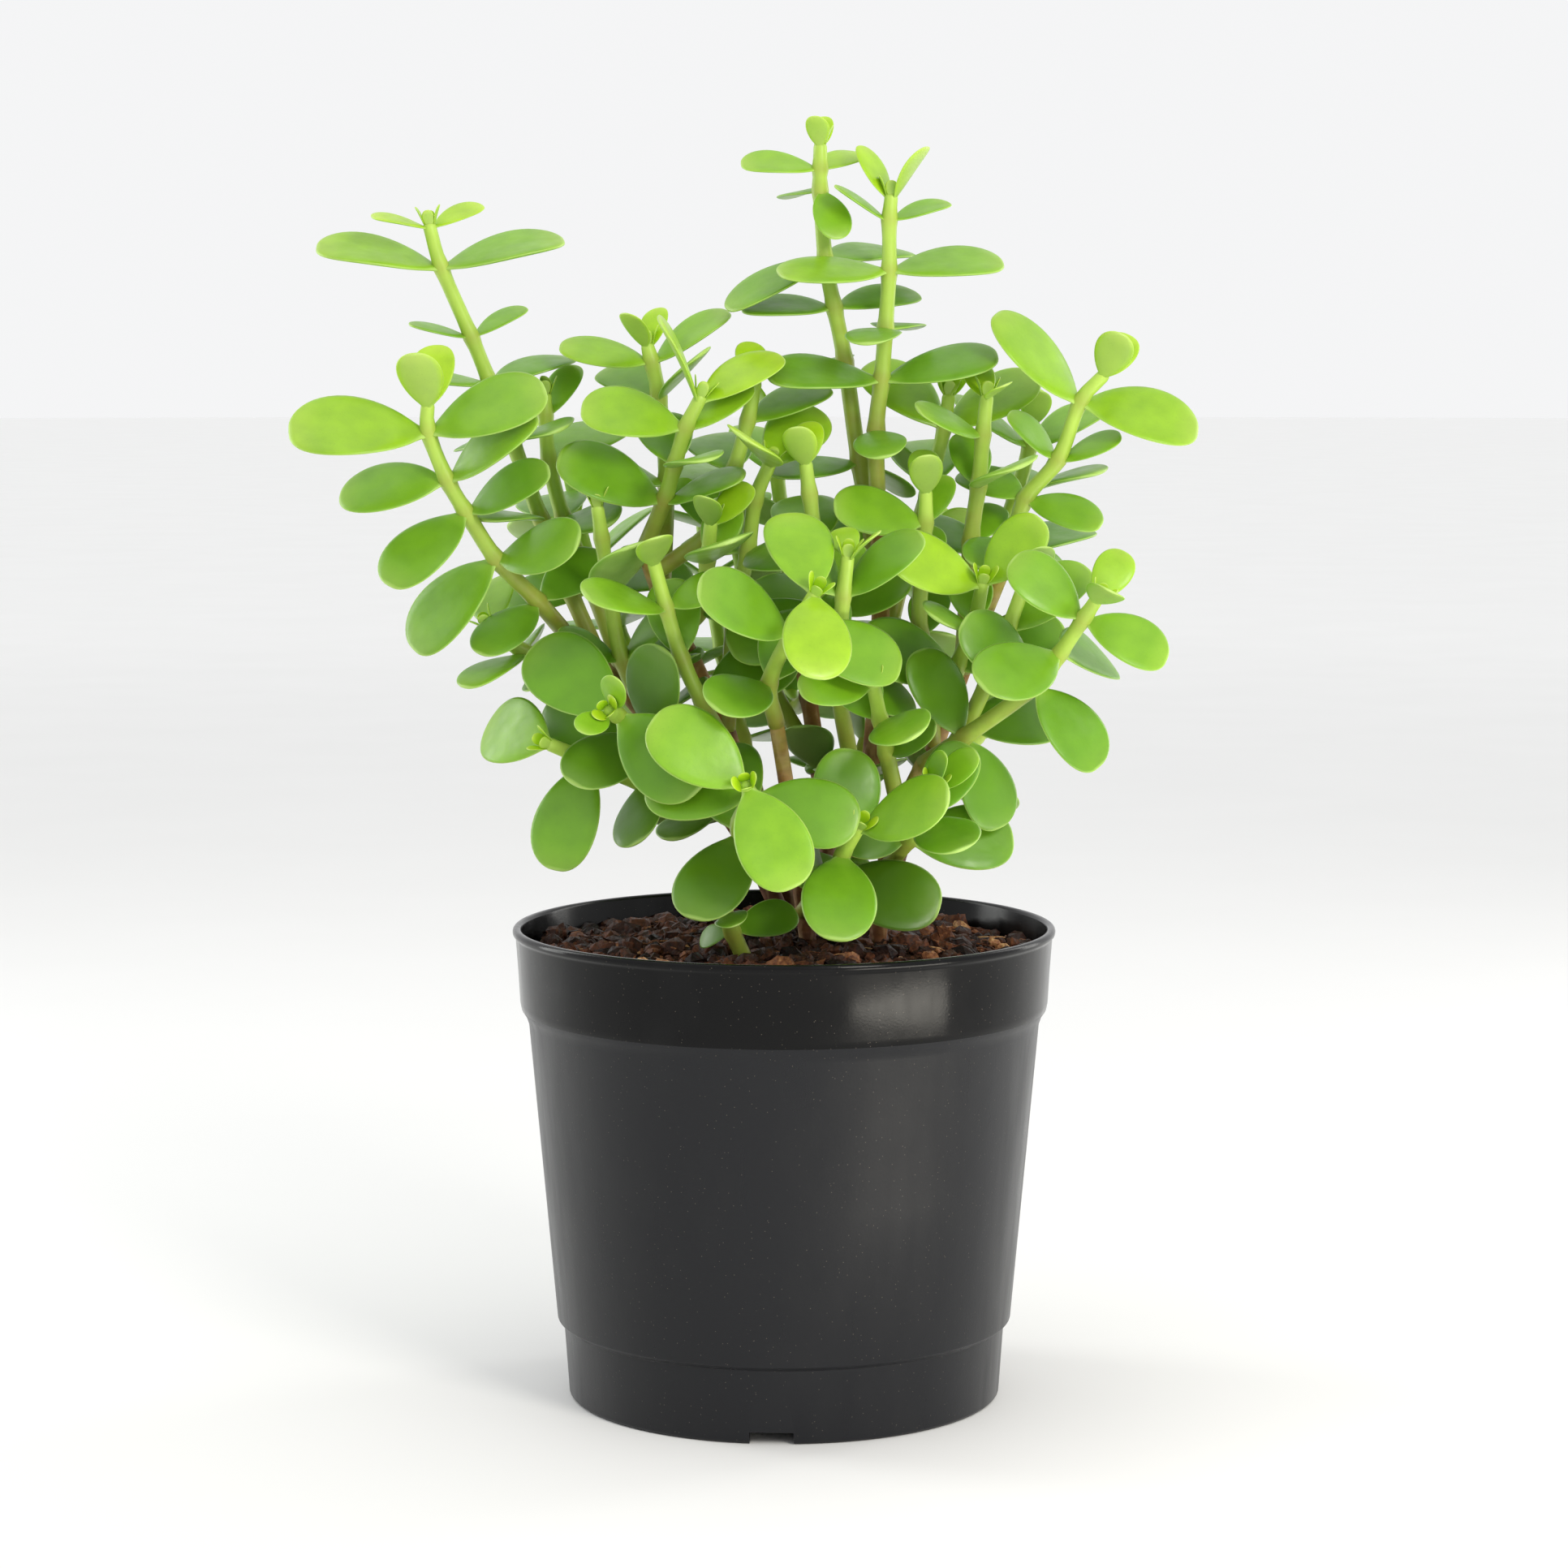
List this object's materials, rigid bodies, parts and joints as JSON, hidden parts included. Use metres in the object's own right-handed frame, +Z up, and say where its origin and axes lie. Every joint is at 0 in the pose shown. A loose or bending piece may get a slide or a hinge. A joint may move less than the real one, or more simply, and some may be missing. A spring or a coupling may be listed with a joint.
{
  "type": "potted jade plant",
  "caption": "Bushy small-leaved jade plant with woody stems and fleshy leaves, growing from bark and coir soil in a plain round plastic nursery pot.",
  "frame": {"origin": "centre of the pot's foot, on the surface it stands on", "axes": "+Z up along the pot's axis, -Y towards the plant's fullest side, +X to the right seen from that side"},
  "size_m": [0.2504, 0.1631, 0.3576],
  "materials": {
    "pot": "satin",
    "soil": "matte",
    "bark": "matte",
    "mature_leaf": "satin",
    "young_leaf": "satin"
  },
  "bodies": {
    "root": {"pot": "pot", "soil": "soil", "main_stem": "bark", "main_stem_leaf_pair_1": "mature_leaf", "main_stem_leaf_pair_2": "mature_leaf", "left_stem": "bark", "left_stem_leaf_pair_1": "mature_leaf", "left_stem_leaf_pair_2": "mature_leaf", "right_stem": "bark", "right_stem_leaf_pair_1": "mature_leaf", "centre_stem": "bark", "centre_stem_leaf_pair_1": "mature_leaf", "centre_stem_leaf_pair_2": "mature_leaf", "front_stem": "bark", "front_stem_leaf_pair_1": "mature_leaf", "low_right_stem": "bark", "back_stem": "bark", "back_stem_leaf_pair_1": "mature_leaf", "back_stem_leaf_pair_2": "mature_leaf", "tall_leader": "young_leaf", "twin_leader": "young_leaf", "left_leader": "young_leaf", "left_shoot": "young_leaf", "right_leader": "young_leaf", "right_shoot": "young_leaf", "upper_left_shoot": "young_leaf", "small_upper_shoot": "young_leaf", "centre_front_shoot": "young_leaf", "left_front_shoot": "young_leaf", "low_front_shoot": "mature_leaf", "drooping_shoot": "mature_leaf", "left_inner_shoot": "mature_leaf", "left_hanging_shoot": "mature_leaf", "left_low_shoot": "mature_leaf", "centre_inner_shoot": "mature_leaf", "right_upper_shoot": "young_leaf", "right_front_shoot": "young_leaf", "inner_front_shoot": "mature_leaf", "right_low_shoot": "mature_leaf", "soil_sprig": "young_leaf", "right_back_shoot": "young_leaf", "back_left_shoot": "young_leaf", "back_centre_left_shoot": "young_leaf", "back_centre_shoot": "young_leaf", "back_right_shoot": "young_leaf", "back_low_right_shoot": "mature_leaf", "back_low_left_shoot": "mature_leaf", "back_low_shoot": "mature_leaf", "left_mid_shoot": "young_leaf", "centre_left_shoot": "young_leaf", "centre_upper_shoot": "young_leaf", "right_mid_shoot": "young_leaf", "back_inner_shoot": "young_leaf", "front_left_shoot": "young_leaf", "front_centre_shoot": "young_leaf", "front_right_shoot": "young_leaf", "upper_centre_shoot": "young_leaf", "upper_right_shoot": "young_leaf"}
  },
  "joints": []
}
